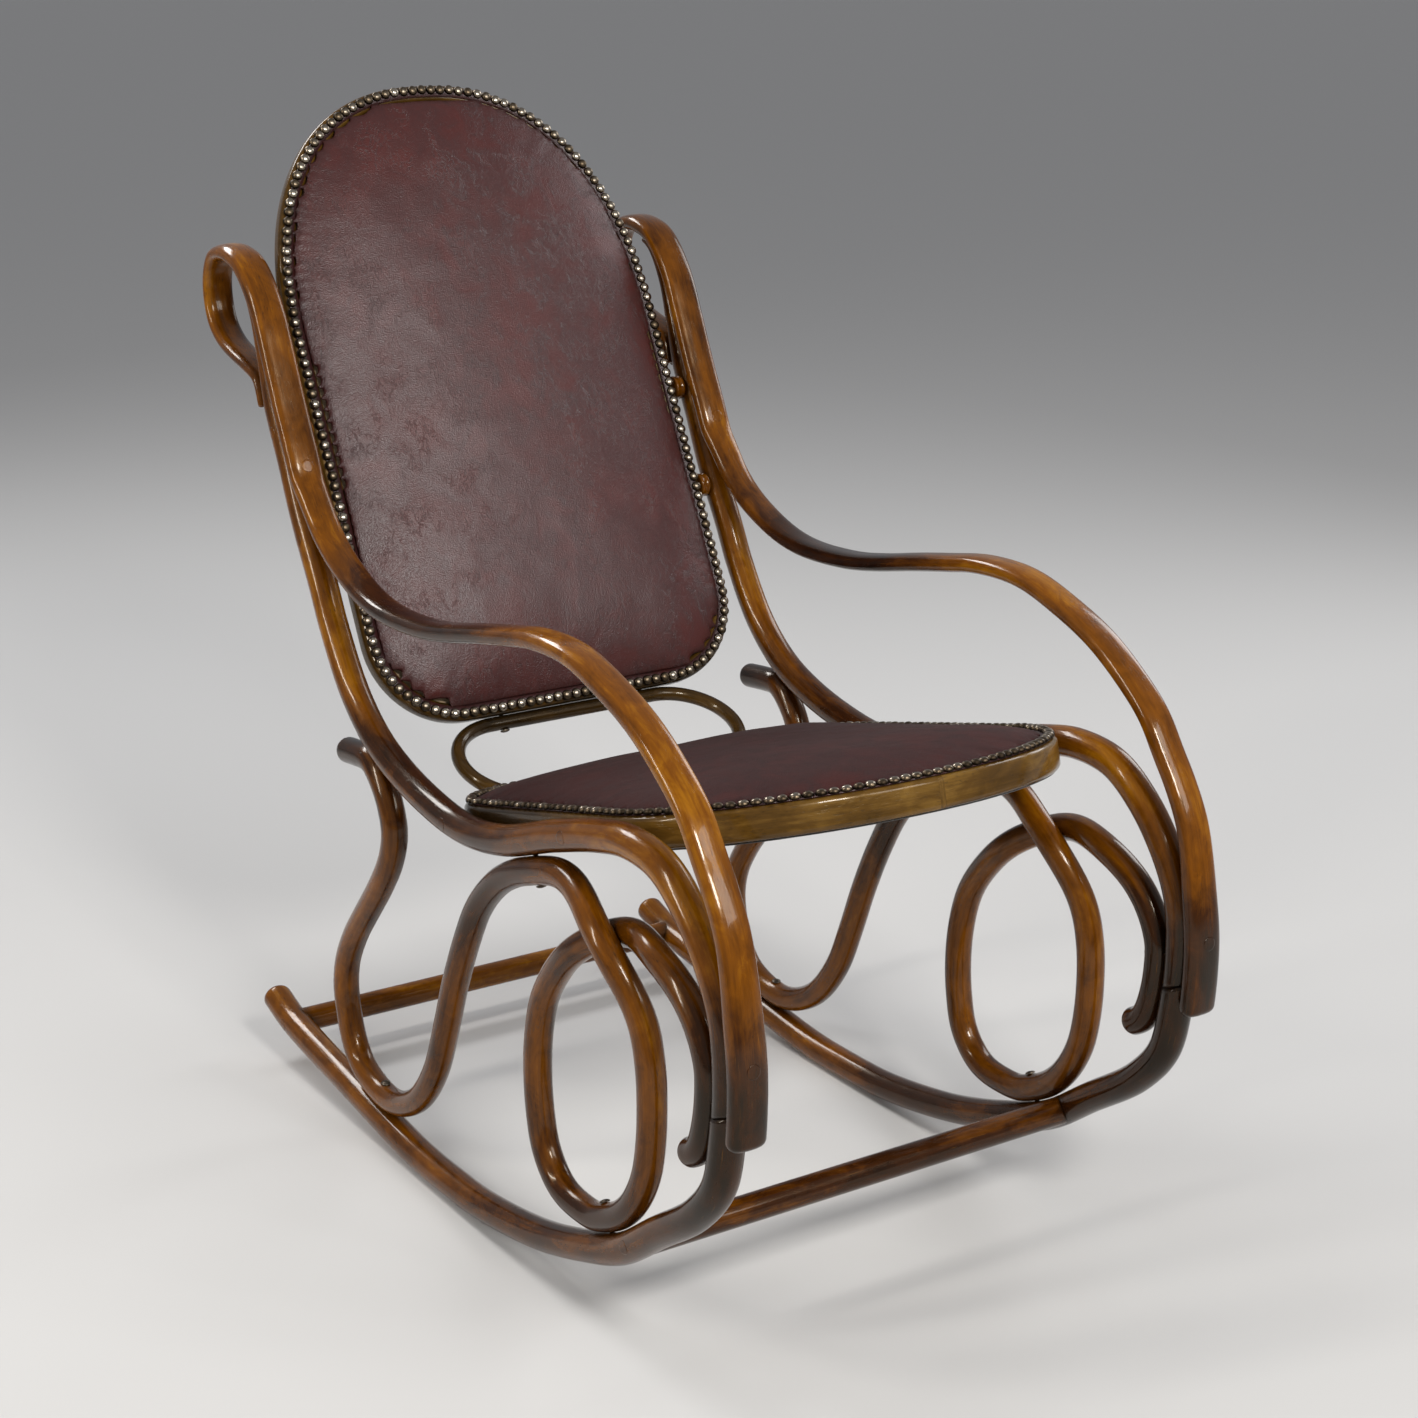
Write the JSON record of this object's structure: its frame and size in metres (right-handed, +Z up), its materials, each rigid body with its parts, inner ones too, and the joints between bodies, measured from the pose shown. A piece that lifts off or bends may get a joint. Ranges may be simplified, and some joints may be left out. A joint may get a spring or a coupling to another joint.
{
  "type": "bentwood rocking chair",
  "caption": "Rocking chair of bent beech: scrolled side frames on curved runners, padded oval seat, tall arched padded back, brass dome nails.",
  "frame": {"origin": "centre of the bounding box at floor level", "axes": "+Z up, the sitter faces -Y, +X is the sitter's left"},
  "size_m": [0.5454, 1.0368, 1.0504],
  "materials": {
    "bent_beech": "polished",
    "spacer_wood": "satin",
    "ring_wood": "satin",
    "panel_wood": "matte",
    "pad_leather": "satin",
    "cover_leather": "satin",
    "dust_cloth": "matte",
    "fasteners": "satin"
  },
  "bodies": {
    "root": {"side_rail_right": "bent_beech", "rocker_runner_right": "bent_beech", "arm_right": "bent_beech", "scrollwork_right": "bent_beech", "side_rail_left": "bent_beech", "rocker_runner_left": "bent_beech", "arm_left": "bent_beech", "scrollwork_left": "bent_beech", "front_stretcher": "bent_beech", "rear_stretcher": "bent_beech", "seat_ring": "ring_wood", "seat_panel": "panel_wood", "seat_pad": "pad_leather", "seat_dust_cover": "dust_cloth", "back_ring": "ring_wood", "back_panel": "panel_wood", "back_pad": "pad_leather", "back_rear_cover": "cover_leather", "link_ring": "ring_wood", "back_spacer_upper_right": "spacer_wood", "back_spacer_lower_right": "spacer_wood", "back_spacer_upper_left": "spacer_wood", "back_spacer_lower_left": "spacer_wood", "seat_bolt_front_right": "fasteners", "seat_bolt_rear_right": "fasteners", "back_bolt_upper_right": "fasteners", "back_bolt_lower_right": "fasteners", "stretcher_screw_front_right": "fasteners", "stretcher_screw_rear_right": "fasteners", "arm_screw_bow_right": "fasteners", "arm_screw_post_right": "fasteners", "arm_screw_tail_right": "fasteners", "scroll_screw_hook_right": "fasteners", "scroll_screw_arch_right": "fasteners", "scroll_screw_bow_right": "fasteners", "scroll_screw_loop_right": "fasteners", "scroll_screw_wave_right": "fasteners", "link_screw_seat_right": "fasteners", "link_screw_back_right": "fasteners", "seat_bolt_front_left": "fasteners", "seat_bolt_rear_left": "fasteners", "back_bolt_upper_left": "fasteners", "back_bolt_lower_left": "fasteners", "stretcher_screw_front_left": "fasteners", "stretcher_screw_rear_left": "fasteners", "arm_screw_bow_left": "fasteners", "arm_screw_post_left": "fasteners", "arm_screw_tail_left": "fasteners", "scroll_screw_hook_left": "fasteners", "scroll_screw_arch_left": "fasteners", "scroll_screw_bow_left": "fasteners", "scroll_screw_loop_left": "fasteners", "scroll_screw_wave_left": "fasteners", "link_screw_seat_left": "fasteners", "link_screw_back_left": "fasteners"}
  },
  "joints": []
}
